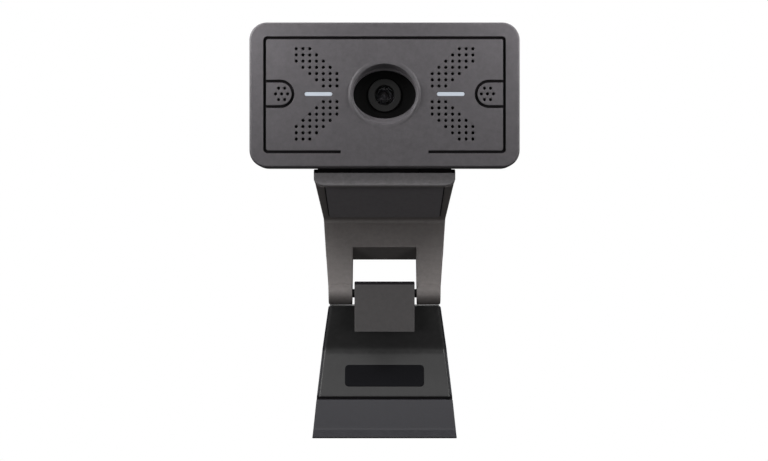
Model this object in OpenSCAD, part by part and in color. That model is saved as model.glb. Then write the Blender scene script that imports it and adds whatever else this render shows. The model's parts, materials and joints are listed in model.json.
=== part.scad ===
// Conference webcam on a folding screen clip.
// X runs across the camera, Y from front to back, Z up. The origin is the centre of the
// rubber pad that sits on a screen's top edge, with the clip leaning back as on a tilted screen.

/* [Head] */
// Width of the camera head
head_w = 96; // [92:0.5:104]
// Height of the camera head
head_h = 51.6; // [50:0.2:56]
// Corner radius of the head's outline
head_r = 6.2; // [4:0.2:9]
// Depth of the front cover
front_d = 12; // [11:0.5:13]
// Depth of the rear cover
rear_d = 20; // [19:0.5:24]
// Wall thickness of the head's covers
wall = 2; // [1.6:0.1:2.4]

/* [Speaker grilles] */
// Sideways pitch of the sound holes
hole_dx = 2.405; // [2.2:0.005:2.5]
// Upright pitch of the sound holes
hole_dz = 2.207; // [2:0.001:2.3]
// Radius of a sound hole
hole_r = 0.52; // [0.35:0.01:0.6]

/* [Clip arm] */
// Backward lean of the clip arm
lean = 30; // [20:1:32]
// Clear depth between the lip and the arm's back wall
throat = 28; // [26:0.5:30]
// Height of the rest plate above the leg hinge
arm_rise = 28.85; // [27:0.05:31]
// Width of the window that the leg's tongue works in
window_w = 23.7; // [23:0.1:25]

/* [Leg] */
// Width of the leg's tongue
tongue_w = 22.1; // [20:0.1:22.4]
// Radius of the leg hinge pin
leg_pin_r = 1.2; // [1:0.05:1.4]
// Minor radius of the tripod thread
tripod_r = 2.55; // [2.5:0.01:2.62]

/* [Hidden] */
$fn = 48;

gap = 0.1;                     // air between neighbouring loose pieces
body_col = [0.24, 0.235, 0.24];
dark_col = [0.1, 0.1, 0.1];
rubber_col = [0.07, 0.07, 0.075];
steel_col = [0.55, 0.55, 0.57];
board_col = [0.05, 0.22, 0.12];

// Leg hinge, measured in the arm's own frame from the rest pad's face.
pad_proud = 0.5;
knuckle_r = 4;
wall_face = 3.9;               // hinge axis to the arm's front face
pad_mid = throat / 2 + 1.25;   // arm's front face to the rest pad's middle
hinge_u = wall_face + pad_mid;
hinge_v = pad_proud - arm_rise;
hinge_y = hinge_u * cos(lean) + hinge_v * sin(lean);
hinge_z = hinge_v * cos(lean) - hinge_u * sin(lean);

// Tilt hinge, measured in world directions from the leg hinge.
tilt_dy = -4;
tilt_dz = 43.5;
tilt_r = 4.2;
tilt_y = hinge_y + tilt_dy;
tilt_z = hinge_z + tilt_dz;
tilt_pin_r = 1.5;
barrel_w = 25;
ear_w = 11.6;
ear_in = barrel_w / 2 + 0.3;
tilt_u = tilt_dy * cos(lean) - tilt_dz * sin(lean);
tilt_v = tilt_dy * sin(lean) + tilt_dz * cos(lean);

// Head: its local origin is the middle of the front panel's face, y running backwards.
head_d = front_d + rear_d;
axis_y = 20;                   // panel face to tilt axis
axis_z = -head_h / 2 - 1.98;   // head's middle to tilt axis
row_z = 0.35;                  // height of the row of lens, light bars and microphones
panel_w = 86;
panel_h = 41.4;
groove_w = 0.93;
groove_d = 1.1;
groove_r = 1.5;
groove_end = 15.55;            // where the lower groove stops, each side of the middle
pad_r = 4.98;                  // outer radius of the groove round a microphone pad
pad_x = 37;
mic_x = 36.5;
mic_dx = 2.15;
mic_dz = 2.02;
mic_hole_r = 0.46;
bar_x = 23.5;
bar_l = 10;
bar_h = 1.6;
grille_x = 16.9;
grille_z = 2.78;
ring_r = 13;
ring_proud = 0.8;
mouth_w = 22;
mouth_h = 16.8;
mouth_y = 3.4;
barrel_r = 5.95;
barrel_y = 5.6;
rear_in_x = 7;                 // how far the rear face is set in, sideways
rear_in_z = 6.5;
screw_x = 40.5;
screw_z = 17.6;

// ---------- helpers ----------

// Profile in the Y-Z plane, carried across X.
module across(w) {
    rotate([90, 0, 90]) linear_extrude(w, center = true) children();
}

// Outline in the X-Z plane, carried back from y0 by d.
module back(y0, d) {
    translate([0, y0 + d, 0]) rotate([90, 0, 0]) linear_extrude(d) children();
}

// Round bar across X, centred at x, at (y, z).
module bar_x_at(x, y, z, r, w) {
    translate([x - w / 2, y, z]) rotate([0, 90, 0]) cylinder(r = r, h = w);
}

// Round bar running back from y0.
module rod(x, y0, z, r, d, r2 = -1) {
    translate([x, y0, z]) rotate([-90, 0, 0]) cylinder(r1 = r, r2 = r2 < 0 ? r : r2, h = d);
}

module round_rect(w, h, r) {
    square([w - 2 * r, h], center = true);
    square([w, h - 2 * r], center = true);
    for (i = [-1, 1], j = [-1, 1]) translate([i * (w / 2 - r), j * (h / 2 - r)]) circle(r);
}

module block(w, d, h) {
    translate([-w / 2, 0, -h / 2]) cube([w, d, h]);
}

module both() {
    children();
    mirror([1, 0, 0]) children();
}

module side(s) {
    if (s > 0) children(); else mirror([1, 0, 0]) children();
}

module in_head() {
    translate([0, tilt_y - axis_y, tilt_z - axis_z]) children();
}

// Arm frame: origin on the leg hinge, y along the rest plate, z square to it.
module in_arm() {
    rotate([-lean, 0, 0]) translate([0, hinge_u, hinge_v]) children();
}

module in_leg() {
    translate([0, hinge_y, hinge_z]) children();
}

// ---------- head: covers ----------

edge_r = 1.6;                  // rounding of the front cover's rim
edge_steps = 5;

// Front cover's outer shape: the outline drawn in step by step towards the face.
module front_outer() {
    hull() {
        back(edge_r, front_d - edge_r) round_rect(head_w, head_h, head_r);
        for (i = [0:edge_steps - 1]) {
            a = 90 * i / edge_steps;
            inset = edge_r * (1 - sin(a));
            y = edge_r * (1 - cos(a));
            back(y, 0.01) round_rect(head_w - 2 * inset, head_h - 2 * inset, head_r - inset);
        }
    }
}

module ring_2d(w, h, r, t) {
    difference() {
        round_rect(w, h, r);
        round_rect(w - 2 * t, h - 2 * t, max(r - t, 0.3));
    }
}

// Groove outline: the panel's frame, open below the lens.
module frame_groove_2d() {
    difference() {
        ring_2d(panel_w, panel_h, groove_r, groove_w);
        translate([-groove_end, -panel_h / 2 - 1]) square([2 * groove_end, 3]);
    }
}

// Groove round a microphone pad: a half ring with two straight runs.
module pad_groove_2d() {
    translate([pad_x, row_z]) difference() {
        union() {
            circle(pad_r);
            translate([0, -pad_r]) square([panel_w / 2 - groove_w / 2 - pad_x, 2 * pad_r]);
        }
        circle(pad_r - groove_w);
        translate([0, groove_w - pad_r]) square([panel_w / 2, 2 * (pad_r - groove_w)]);
    }
}

// Sound holes of one quarter: seven rows whose three to five holes step sideways.
module grille_holes(depth) {
    for (row = [0:6], col = [0:6]) {
        if (abs(col - row) <= 2) {
            rod(grille_x + col * hole_dx, -1, grille_z + row * hole_dz, hole_r, depth + 1);
        }
    }
}

// Seven holes in a hexagon over a microphone.
module mic_holes(depth) {
    for (i = [-1:1]) rod(mic_x + i * mic_dx, -1, row_z, mic_hole_r, depth + 1);
    for (i = [-0.5, 0.5], j = [-1, 1]) {
        rod(mic_x + i * mic_dx, -1, row_z + j * mic_dz, mic_hole_r, depth + 1);
    }
}

module bar_2d(l, h) {
    square([l - h, h], center = true);
    for (i = [-1, 1]) translate([i * (l - h) / 2, 0]) circle(h / 2);
}

// Screw post on the inside of the front cover.
module cover_posts() {
    for (i = [-1, 1], j = [-1, 1]) rod(i * screw_x, wall - 0.2, j * screw_z, 2.6, front_d - wall);
}

module front_cover() {
    color(body_col) difference() {
        union() {
            difference() {
                front_outer();
                back(wall, front_d) round_rect(head_w - 2 * wall, head_h - 2 * wall, head_r - wall);
            }
            rod(0, -ring_proud, row_z, ring_r - 0.5, ring_proud + 0.6, ring_r + 0.7);
            rod(0, wall - 0.2, row_z, ring_r + 1, mouth_y + 1.4 - wall);
            cover_posts();
        }
        hull() {
            rod(0, -ring_proud - 0.01, row_z, ring_r - 0.9, 0.02);
            back(mouth_y, 0.01) translate([0, row_z]) scale([mouth_w, mouth_h]) circle(d = 1, $fn = 64);
        }
        back(mouth_y - 0.01, 5) translate([0, row_z]) scale([mouth_w, mouth_h]) circle(d = 1, $fn = 64);
        back(-1, groove_d + 1) frame_groove_2d();
        both() {
            back(-1, groove_d + 1) pad_groove_2d();
            mic_holes(wall + 1);
            back(-1, wall + 2) translate([bar_x, row_z]) bar_2d(bar_l, bar_h);
            for (j = [-1, 1]) {
                translate([0, 0, row_z]) mirror([0, 0, (1 - j) / 2]) grille_holes(wall + 1);
            }
        }
        for (i = [-1, 1], j = [-1, 1]) rod(i * screw_x, front_d - 7, j * screw_z, 1.05, 8);
    }
}

// Rear cover's outer shape, drawn in towards its back with a rounded edge.
module rear_hull(t) {
    hull() {
        back(front_d, 0.02) round_rect(head_w - 2 * t, head_h - 2 * t, head_r - t);
        back(front_d + 7, 0.02) round_rect(head_w - 1 - 2 * t, head_h - 1 - 2 * t, head_r - t);
        back(head_d - 2.4 - t, 0.02) {
            round_rect(head_w - 2 * rear_in_x - 2 * t, head_h - 2 * rear_in_z - 2 * t, head_r + 2 - t);
        }
        back(head_d - 0.7 - t, 0.02) {
            round_rect(head_w - 2 * rear_in_x - 2 - 2 * t, head_h - 2 * rear_in_z - 2 - 2 * t, head_r + 1 - t);
        }
        back(head_d - 0.02 - t, 0.02) {
            round_rect(head_w - 2 * rear_in_x - 5 - 2 * t, head_h - 2 * rear_in_z - 5 - 2 * t, head_r - t);
        }
    }
}

usb_z = 1;
usb_w = 8.94;
usb_h = 3.26;
usb_len = 7.3;
vent_n = 7;

module rear_cover() {
    notch_r = tilt_r + 0.9;
    notch_w = 2 * (ear_in + ear_w) + 1;
    color(body_col) difference() {
        union() {
            difference() {
                rear_hull(0);
                translate([0, -0.03, 0]) rear_hull(wall);
            }
            intersection() {
                rear_hull(0);
                union() {
                    bar_x_at(0, axis_y, axis_z, notch_r + 1.6, notch_w + 3.2);
                    for (i = [-1, 1], j = [-1, 1]) {
                        rod(i * screw_x, front_d + gap, j * screw_z, 2.7, head_d - front_d);
                    }
                }
            }
            bar_x_at(0, axis_y, axis_z, tilt_r, barrel_w);
            translate([0, axis_y, 0]) across(barrel_w) {
                translate([-3.4, axis_z]) square([6.8, 7.4]);
            }
            for (i = [-1, 1], z = [-8, 10]) rod(i * 26, main_y + 1.3, z, 2.2, head_d - main_y - 2.5);
        }
        for (s = [-1, 1]) {
            bar_x_at(s * (ear_in - 0.3 + (ear_w + 0.8) / 2 ), axis_y, axis_z, notch_r, ear_w + 0.8);
        }
        bar_x_at(0, axis_y, axis_z, tilt_pin_r + 0.05, barrel_w + 2);
        for (i = [-1, 1], j = [-1, 1]) {
            rod(i * screw_x, front_d - 1, j * screw_z, 1.3, 14);
            rod(i * screw_x, front_d + 7.2, j * screw_z, 2.05, 14);
        }
        for (i = [-1, 1], z = [-8, 10]) rod(i * 26, main_y, z, 0.82, 5);
        back(head_d - wall - 1, wall + 2) translate([0, usb_z]) round_rect(usb_w + 0.5, usb_h + 0.5, 1.6);
        back(head_d - 1.1, 2) translate([0, usb_z]) round_rect(13.4, 7.4, 2.6);
        for (s = [-1, 1], i = [0:vent_n - 1]) {
            back(head_d - wall - 1, wall + 2) translate([s * (14 + 2.6 * i), usb_z + 1]) bar_2d_up(11, 1.1);
        }
    }
}

module bar_2d_up(l, h) {
    rotate(90) bar_2d(l, h);
}

// ---------- head: optics ----------

hood_y = mouth_y + 1.45;
board_y = 19.2;

module lens_hood() {
    color(dark_col) difference() {
        union() {
            rod(0, hood_y, row_z, ring_r + 1, 1.2);
            rod(0, hood_y + 1.1, row_z, barrel_r + 2.4, 4.5);
        }
        hull() {
            back(hood_y - 0.01, 0.01) translate([0, row_z]) scale([mouth_w, mouth_h]) circle(d = 1, $fn = 64);
            rod(0, hood_y + 1.3, row_z, barrel_r + 0.25, 0.01);
        }
        rod(0, hood_y + 1, row_z, barrel_r + 0.25, 6);
    }
}

module lens_barrel() {
    color(dark_col) difference() {
        union() {
            rod(0, barrel_y, row_z, barrel_r, 4.6);
            rod(0, barrel_y + 4.5, row_z, 5, 6);
        }
        rod(0, barrel_y - 0.01, row_z, 4.9, 0.61, 3.6);
        rod(0, barrel_y + 0.5, row_z, 3.6, 2.2);
        rod(0, barrel_y + 2.6, row_z, 2.6, 9);
    }
}

// Domed disc: part of a ball cut flat at the back, with a straight rim t thick.
module dome(y0, z, r, t, rise) {
    ball = (r * r + rise * rise) / (2 * rise);
    translate([0, y0 + rise + t, z]) rotate([90, 0, 0]) rotate_extrude() intersection() {
        translate([0, rise + t - ball]) circle(r = ball, $fn = 96);
        square([r, rise + t + 1]);
    }
}

module front_lens() {
    color([0.15, 0.17, 0.22]) dome(barrel_y + 0.75, row_z, 3.52, 1.05, 0.75);
}

module inner_lens() {
    color([0.15, 0.17, 0.22]) rod(0, barrel_y + 4.4, row_z, 2.52, 1.6);
}

module lens_mount() {
    color(dark_col) difference() {
        union() {
            rod(0, barrel_y + 5.4, row_z, 6.4, 4.4);
            translate([0, barrel_y + 9.6, row_z]) block(16, board_y - gap - barrel_y - 9.6, 16);
        }
        rod(0, barrel_y + 5, row_z, 5.05, 6);
        translate([0, barrel_y + 10.8, row_z]) block(11, 8, 11);
    }
}

module ir_filter() {
    color([0.5, 0.3, 0.35, 0.6]) translate([0, barrel_y + 10.85, row_z]) block(8, 0.3, 8);
}

module image_sensor() {
    color([0.2, 0.22, 0.25]) translate([0, board_y - 1.1, row_z]) block(7.4, 1, 6.2);
}

// ---------- head: boards ----------

module camera_board() {
    color(board_col) difference() {
        translate([0, board_y, row_z]) block(30, 1, 20);
        for (i = [-1, 1]) rod(i * 12.6, board_y - 1, row_z + 7, 1.1, 3);
    }
}

main_y = 22.6;

module main_board() {
    color(board_col) difference() {
        translate([0, main_y, 1]) block(70, 1.2, 30);
        for (i = [-1, 1], z = [-8, 10]) rod(i * 26, main_y - 1, z, 1, 4);
    }
}

module image_processor() {
    color(dark_col) translate([-17, main_y - 1.1, 2]) block(10, 1.05, 10);
}

// Drawn-steel lid over the radio-noisy part of the board.
module shield_can() {
    color(steel_col) difference() {
        translate([15.5, main_y - 2, 2]) block(14, 1.95, 15);
        translate([15.5, main_y - 1.7, 2]) block(13.4, 2, 14.4);
    }
}

module board_connector() {
    color(dark_col) translate([0, board_y + 1.05, row_z - 7]) block(12, main_y - board_y - 1.1, 3.4);
}

usb_y = main_y + 1.25;

module usb_socket() {
    color(steel_col) difference() {
        back(usb_y, usb_len) translate([0, usb_z]) round_rect(usb_w, usb_h, usb_h / 2 - 0.02);
        back(usb_y + 1, usb_len) translate([0, usb_z]) round_rect(usb_w - 0.6, usb_h - 0.6, usb_h / 2 - 0.32);
    }
}

module usb_contact_tongue() {
    color(dark_col) translate([0, usb_y + 1.05, usb_z]) block(6.6, 4.6, 0.7);
}

// ---------- head: lights, speakers, microphones ----------

module light_guide() {
    color([0.8, 0.87, 1]) {
        back(0.15, wall + 0.3) translate([bar_x, row_z]) bar_2d(bar_l - 0.1, bar_h - 0.1);
        translate([bar_x, wall + 0.25, row_z]) block(bar_l + 2, 1, bar_h + 1.6);
    }
}

module led_board() {
    color([0.9, 0.9, 0.88]) translate([bar_x, wall + 2.2, row_z]) block(bar_l + 3, 0.8, 4);
    color([0.95, 0.95, 0.8]) for (i = [-1:1]) {
        translate([bar_x + 3.4 * i, wall + 1.4, row_z]) block(1.6, 0.75, 1);
    }
}

speaker_x = grille_x + 3 * hole_dx;
speaker_w = 17.6;
speaker_h = 36;
speaker_y = 5.6;

module grille_cloth() {
    color(dark_col) translate([speaker_x, wall + 0.05, row_z]) difference() {
        block(16.4, 0.15, 34.4);
        translate([bar_x - speaker_x, -1, 0]) block(bar_l + 3.4, 3, 4.6);
    }
}

module speaker_gasket() {
    color(rubber_col) translate([speaker_x, wall + 0.25, row_z]) difference() {
        block(speaker_w, speaker_y - wall - 0.3, speaker_h);
        translate([0, -1, 0]) block(speaker_w - 2.4, 9, speaker_h - 2.4);
    }
}

module speaker_basket() {
    color(dark_col) translate([speaker_x, speaker_y, row_z]) difference() {
        block(speaker_w, 6, speaker_h);
        translate([0, -1, 0]) block(speaker_w - 2.4, 5.2, speaker_h - 2.4);
    }
}

module speaker_cone() {
    color([0.16, 0.16, 0.17]) translate([speaker_x, speaker_y + 0.6, row_z]) {
        difference() {
            back(0, 1.2) round_rect(speaker_w - 3, speaker_h - 3, 5);
            back(-1, 1.6) round_rect(speaker_w - 6, speaker_h - 6, 4);
        }
        back(1.1, 1.4) round_rect(speaker_w - 7, speaker_h - 7, 3.6);
    }
}

module mic_boot() {
    color(rubber_col) difference() {
        rod(mic_x, wall + 0.05, row_z, 3.5, 2.4);
        rod(mic_x, wall - 1, row_z, 2.5, 2.3);
        translate([mic_x, wall + 1.2, row_z]) block(4.1, 3, 3.2);
    }
}

module microphone() {
    color([0.75, 0.7, 0.5]) translate([mic_x, wall + 1.3, row_z]) block(3.9, 1.1, 3);
    color(board_col) rod(mic_x, wall + 2.5, row_z, 3.4, 0.8);
}

// Pan-head screw running back to front: head towards +y.
module screw(x, y0, z, r, l, head, t = 1.2) {
    color(steel_col) difference() {
        union() {
            rod(x, y0, z, r, l + 0.1);
            rod(x, y0 + l, z, head, t);
        }
        translate([x, y0 + l + t / 2, z]) for (a = [0, 90]) rotate([0, a, 0]) block(head * 1.3, 1, 0.45);
    }
}

module cover_screws() {
    for (i = [-1, 1], j = [-1, 1]) screw(i * screw_x, front_d - 5.8, j * screw_z, 1, 13.05, 1.9);
}

// Screws through the main board, their heads on its front face.
module board_screws() {
    for (i = [-1, 1], z = [-8, 10]) {
        translate([0, 2 * main_y - gap, 0]) mirror([0, 1, 0]) screw(i * 26, main_y - 4.4, z, 0.8, 4.4, 1.6);
    }
}

// ---------- clip arm ----------

lip_t = 2.2;
lip_drop = 2.75;               // how far the lip hangs below the rest plate
lip_r = 2.6;                   // rounding of the lip's lower corners
plate_top = arm_rise + 2.4;    // top of the rest plate
lip_out = -wall_face - throat - lip_t;
arm_back = 6.2;                // hinge axis to the arm's back face, above the window
arm_front_w = 51;
arm_bend_w = 45.6;
arm_foot_w = 40.8;
window_top = 17.4;
corner_top = arm_rise + 5.3;

module arm_profile() {
    polygon([
            [lip_out + lip_t, arm_rise - lip_drop], [lip_out + lip_t, arm_rise],
            [-wall_face, arm_rise], [-wall_face, 0], [0, 0], [knuckle_r, 0],
            [knuckle_r, 4], [arm_back, window_top], [arm_back, corner_top - 3],
            [arm_back - 3, corner_top], [-12, corner_top], [-16.5, plate_top],
            [lip_out + 1.2, plate_top], [lip_out, plate_top - 1], [lip_out, arm_rise - lip_drop]
    ]);
    circle(knuckle_r);
}

// Plan of the arm: widest at the lip, narrowing to the back wall.
module arm_plan() {
    polygon([
        [-arm_front_w / 2, lip_out - 1], [arm_front_w / 2, lip_out - 1],
        [arm_front_w / 2, lip_out], [arm_bend_w / 2, -wall_face], [arm_bend_w / 2, 12],
        [-arm_bend_w / 2, 12], [-arm_bend_w / 2, -wall_face], [-arm_front_w / 2, lip_out]
    ]);
}

// Front view of the arm: the wall tapers to the hinge, the lip's lower corners are round.
module arm_face() {
    polygon([
        [-arm_foot_w / 2, -6], [arm_foot_w / 2, -6], [arm_foot_w / 2, 0],
        [arm_bend_w / 2, arm_rise - 0.6], [arm_bend_w / 2, 50],
        [-arm_bend_w / 2, 50], [-arm_bend_w / 2, arm_rise - 0.6], [-arm_foot_w / 2, 0]
    ]);
    translate([-arm_front_w / 2, arm_rise - lip_drop + lip_r]) square([arm_front_w, 20]);
    translate([lip_r - arm_front_w / 2, arm_rise - lip_drop]) square([arm_front_w - 2 * lip_r, 20]);
    for (s = [-1, 1]) translate([s * (arm_front_w / 2 - lip_r), arm_rise - lip_drop + lip_r]) circle(lip_r);
}

module arm_outer() {
    intersection() {
        across(60) arm_profile();
        translate([0, 0, -10]) linear_extrude(60) arm_plan();
        back(-50, 70) arm_face();
    }
}

// Space that the tongue works in.
module arm_window(c = 0) {
    translate([-window_w / 2 - c, -9, -9]) cube([window_w + 2 * c, 24, window_top + 9 + c]);
}

lid_t = 1.6;
lid_foot = 6;
lid_top = corner_top - 4.5;

// Region of the back cover, set in from the arm's edges by inset.
module lid_region(inset) {
    difference() {
        intersection() {
            across(60) polygon([
                [knuckle_r - lid_t + 0.3 + inset / 4, lid_foot + inset], [arm_back - lid_t + inset / 4, window_top],
                [arm_back - lid_t + inset / 4, lid_top - inset], [arm_back + 2, lid_top - inset],
                [arm_back + 2, lid_foot + inset]
            ]);
            back(-5, 20) polygon([
                [-arm_foot_w / 2 + 1.6 + inset, 0], [arm_foot_w / 2 - 1.6 - inset, 0],
                [arm_bend_w / 2 - 1.6 - inset, arm_rise], [arm_bend_w / 2 - 1.6 - inset, 50],
                [1.6 + inset - arm_bend_w / 2, 50], [1.6 + inset - arm_bend_w / 2, arm_rise]
            ]);
        }
        arm_window(1.6 + inset);
    }
}

// Hollow behind the back cover.
module arm_hollow() {
    difference() {
        intersection() {
            across(60) polygon([
                [2 - wall_face, lid_foot + 2], [arm_back, lid_foot + 2],
                [arm_back, lid_top - 1.5], [-8, lid_top - 1.5], [2 - wall_face, arm_rise - 1]
            ]);
            back(-9, 20) polygon([
                [-arm_foot_w / 2 + 2.6, 0], [arm_foot_w / 2 - 2.6, 0],
                [arm_bend_w / 2 - 2.6, arm_rise], [arm_bend_w / 2 - 2.6, 50],
                [2.6 - arm_bend_w / 2, 50], [2.6 - arm_bend_w / 2, arm_rise]
            ]);
        }
        arm_window(2.2);
        for (s = [-1, 1]) rod(s * 15, -9, 24, 2.2, 20);
    }
}

module ear() {
    difference() {
        translate([ear_in + ear_w / 2, 0, 0]) across(ear_w) {
            translate([tilt_u, tilt_v]) circle(tilt_r + 0.2);
            polygon([
                [tilt_u - tilt_r, plate_top - 1], [tilt_u + tilt_r, plate_top - 1],
                [tilt_u + tilt_r, tilt_v], [tilt_u - tilt_r, tilt_v]
            ]);
        }
        bar_x_at(ear_in + ear_w / 2, tilt_u, tilt_v, tilt_pin_r + 0.02, ear_w + 2);
    }
}

rest_w = 42;
rest_l = 24.5;

module arm_shell() {
    color(body_col) difference() {
        union() {
            arm_outer();
            both() ear();
        }
        bar_x_at(0, tilt_u, tilt_v, tilt_r + 0.35, barrel_w + 0.6);
        arm_window();
        lid_region(0);
        arm_hollow();
        translate([0, -wall_face - pad_mid, arm_rise - 1]) linear_extrude(1.6) round_rect(rest_w, rest_l, 1);
        bar_x_at(0, 0, 0, leg_pin_r + 0.02, 34);
        for (s = [-1, 1]) rod(s * 15, 0.5, 24, 0.85, 8);
    }
}

module arm_back_cover() {
    color(body_col) difference() {
        intersection() {
            arm_outer();
            lid_region(gap);
        }
        for (s = [-1, 1]) {
            rod(s * 15, 2, 24, 1.15, 9);
            rod(s * 15, arm_back - 0.9, 24, 1.9, 3);
        }
    }
}

module arm_screws() {
    for (s = [-1, 1]) screw(s * 15, 1.2, 24, 0.8, 4.15, 1.7, 0.8);
}

module rest_pad() {
    color(rubber_col) translate([0, -wall_face - pad_mid, arm_rise - pad_proud]) {
        linear_extrude(pad_proud + 0.55) round_rect(rest_w - 0.2, rest_l - 0.2, 0.9);
    }
}

module tilt_pin() {
    color(steel_col) bar_x_at(0, tilt_u, tilt_v, tilt_pin_r, 2 * (ear_in + ear_w) - 0.8);
}

module leg_pin() {
    color(steel_col) bar_x_at(0, 0, 0, leg_pin_r, 33.6);
}

// ---------- leg ----------

leg_top = -4.75;
leg_lip = 0.4;                 // how far back the leg's upper front edge lies
leg_bend = [7, -21.5];         // valley of the front face
leg_step = [1.6, -38.4];       // lower end of the front cover
toe_bend = [-2.2, -50];
toe_tip = [-4.4, -53.5];
leg_ridge = [15.4, -23.5];
toe_back = [-1.8, -53.5];
cover_t = 1.8;
tongue_face = -4.2;
tongue_foot = -14.3;

// Half widths of the leg down its length.
module leg_face(inset = 0) {
    polygon([
        [-20.05 + inset, leg_top + 8], [20.05 - inset, leg_top + 8], [20.05 - inset, leg_top],
        [23.2 - inset, leg_bend[1]], [24.8 - inset, leg_step[1]], [26.46 - inset, toe_tip[1]],
        [26.46 - inset, -60], [inset - 26.46, -60], [inset - 26.46, toe_tip[1]],
        [inset - 24.8, leg_step[1]], [inset - 23.2, leg_bend[1]], [inset - 20.05, leg_top]
    ]);
}

module leg_profile() {
    polygon([
        [leg_lip, leg_top], leg_bend, leg_step, [leg_step[0] - 0.32, leg_step[1] - 1], toe_bend, toe_tip,
        toe_back, leg_ridge, [leg_ridge[0] - 1.2, leg_ridge[1] + 5], [5.2, leg_top]
    ]);
}

module leg_outer() {
    intersection() {
        across(60) leg_profile();
        back(-20, 50) leg_face();
    }
}

// Band under the front face, t deep.
module cover_band(t, lower) {
    polygon([
        [-6, leg_top + 1], [-6, leg_bend[1]], [-6, leg_step[1] - lower],
        [leg_step[0] + t * 1.05, leg_step[1] - lower],
        [leg_bend[0] + t * 1.02, leg_bend[1] - 0.4],
        [leg_lip + t * 1.09, leg_top], [leg_lip + t * 1.09, leg_top + 1]
    ]);
}

module tongue_block(c = 0) {
    translate([-tongue_w / 2 - c, 0, 0]) rotate([90, 0, 90]) linear_extrude(tongue_w + 2 * c) tongue_profile(c);
}

module tongue_profile(c = 0) {
    circle(knuckle_r + 0.35);
    polygon([
        [tongue_face - c, tongue_foot - c], [tongue_face - c, 3.2], [tongue_face + 1.1, 4.3],
        [0, 4.3], [4.3, 0], [5.2, leg_top], [6.5, tongue_foot - c]
    ]);
}

socket_down = 6;                // tripod socket's distance down from the ridge
tripod_at = leg_ridge + socket_down * (toe_back - leg_ridge) / norm(toe_back - leg_ridge);
tripod_a = atan2(leg_ridge[0] - toe_back[0], leg_ridge[1] - toe_back[1]);
insert_l = 4.6;
insert_r = 4;

// Frame on the tripod socket's mouth, z pointing out of it.
module in_socket() {
    translate([0, tripod_at[0], tripod_at[1]]) rotate([-90 - tripod_a, 0, 0]) children();
}

module leg_hollow() {
    difference() {
        intersection() {
            across(60) polygon([
                [2.4, leg_top - 3], [7, -15], leg_bend, leg_step + [0.6, 1.6], leg_step + [2.9, 1.6],
                leg_ridge + [-2.4, -0.8], leg_ridge + [-3.2, 4], [4.6, leg_top - 2.4]
            ]);
            back(-10, 40) leg_face(3);
        }
        translate([-tongue_w / 2 - 1.6, -10, tongue_foot - 1.8]) cube([tongue_w + 3.2, 40, 20]);
        in_socket() translate([0, 0, -12]) cylinder(r = insert_r + 1.6, h = 14);
        for (s = [-1, 1]) leg_boss(s, 2.4);
    }
}

module leg_boss(s, r) {
    in_plate(s) translate([0, 0, -12]) cylinder(r = r, h = 14);
}

// Frame on the front cover's lower plate, z pointing out of it.
module in_plate(s) {
    translate([s * 17, pad_at[0], pad_at[1]]) rotate([90 - pad_tilt, 0, 0]) children();
}

module leg_shell() {
    color(body_col) difference() {
        union() {
            difference() {
                leg_outer();
                intersection() {
                    across(60) cover_band(cover_t + 0.06, 0);
                    back(-20, 50) leg_face(0.8);
                }
                across(60) cover_lip();
                leg_hollow();
            }
            tongue_block();
        }
        bar_x_at(0, 0, 0, leg_pin_r + 0.05, 40);
        bar_x_at(0, 0, 0, 2.15, 16.4);
        in_socket() {
            translate([0, 0, -insert_l - 0.1]) cylinder(r = insert_r + 0.02, h = insert_l + 1);
        }
        for (s = [-1, 1]) {
            leg_boss(s, 1);
            in_plate(s) translate([0, 0, -12]) cylinder(r = 1.85, h = 7.6);
        }
    }
}

// Groove between the front cover's lower edge and the toe, with the rim cut back beside it.
module cover_lip() {
    translate([-8, leg_step[1] - 0.95]) square([8 + leg_step[0] + 1.6, 0.96]);
}

module leg_front_cover() {
    color(body_col) difference() {
        intersection() {
            across(60) leg_profile();
            across(60) cover_band(cover_t, 0);
            back(-20, 50) leg_face(0.9);
        }
        tongue_block(0.15);
        leg_pad_at() linear_extrude(3) round_rect(28.9 + 0.1, 8.6 + 0.1, 1.25);
        for (s = [-1, 1]) in_plate(s) translate([0, 0, -3]) cylinder(r = 0.92, h = 2.35);
    }
}

pad_at = [leg_bend[0] + (leg_step[0] - leg_bend[0]) * 0.53, leg_bend[1] + (leg_step[1] - leg_bend[1]) * 0.53];
pad_tilt = atan2(leg_bend[0] - leg_step[0], leg_bend[1] - leg_step[1]);

// Frame on the leg's pad: z points out of the front face, y up along it.
module leg_pad_at() {
    translate([0, pad_at[0], pad_at[1]]) rotate([90 - pad_tilt, 0, 0]) translate([0, 0, -0.8]) children();
}

module leg_pad() {
    color(rubber_col) leg_pad_at() linear_extrude(1.05) round_rect(28.9, 8.6, 1.2);
}

module leg_screws() {
    for (s = [-1, 1]) in_plate(s) rotate([-90, 0, 0]) mirror([0, 1, 0]) {
        translate([0, 0, 0]) mirror([0, 1, 0]) screw(0, 0.75, 0, 0.9, 3.7, 1.7, 0.8);
    }
}

module tripod_insert() {
    color([0.72, 0.58, 0.3]) in_socket() translate([0, 0, -insert_l]) difference() {
        cylinder(r = insert_r, h = insert_l);
        translate([0, 0, -1]) cylinder(r = tripod_r, h = insert_l + 2);
    }
}

// Split spring sleeve that grips the hinge pin.
module friction_sleeve() {
    color(steel_col) difference() {
        bar_x_at(0, 0, 0, 2.1, 16);
        bar_x_at(0, 0, 0, leg_pin_r + 0.03, 18);
        translate([-9, -0.3, 0]) cube([18, 0.6, 3]);
    }
}

module hinge_washers() {
    w = (window_w - tongue_w) / 2 - 0.1;
    color(dark_col) for (s = [-1, 1]) difference() {
        bar_x_at(s * (tongue_w / 2 + 0.05 + w / 2), 0, 0, 1.6, w);
        bar_x_at(s * (tongue_w / 2 + 0.05 + w / 2), 0, 0, leg_pin_r + 0.03, w + 1);
    }
}

// ---------- the nodes ----------

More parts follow.
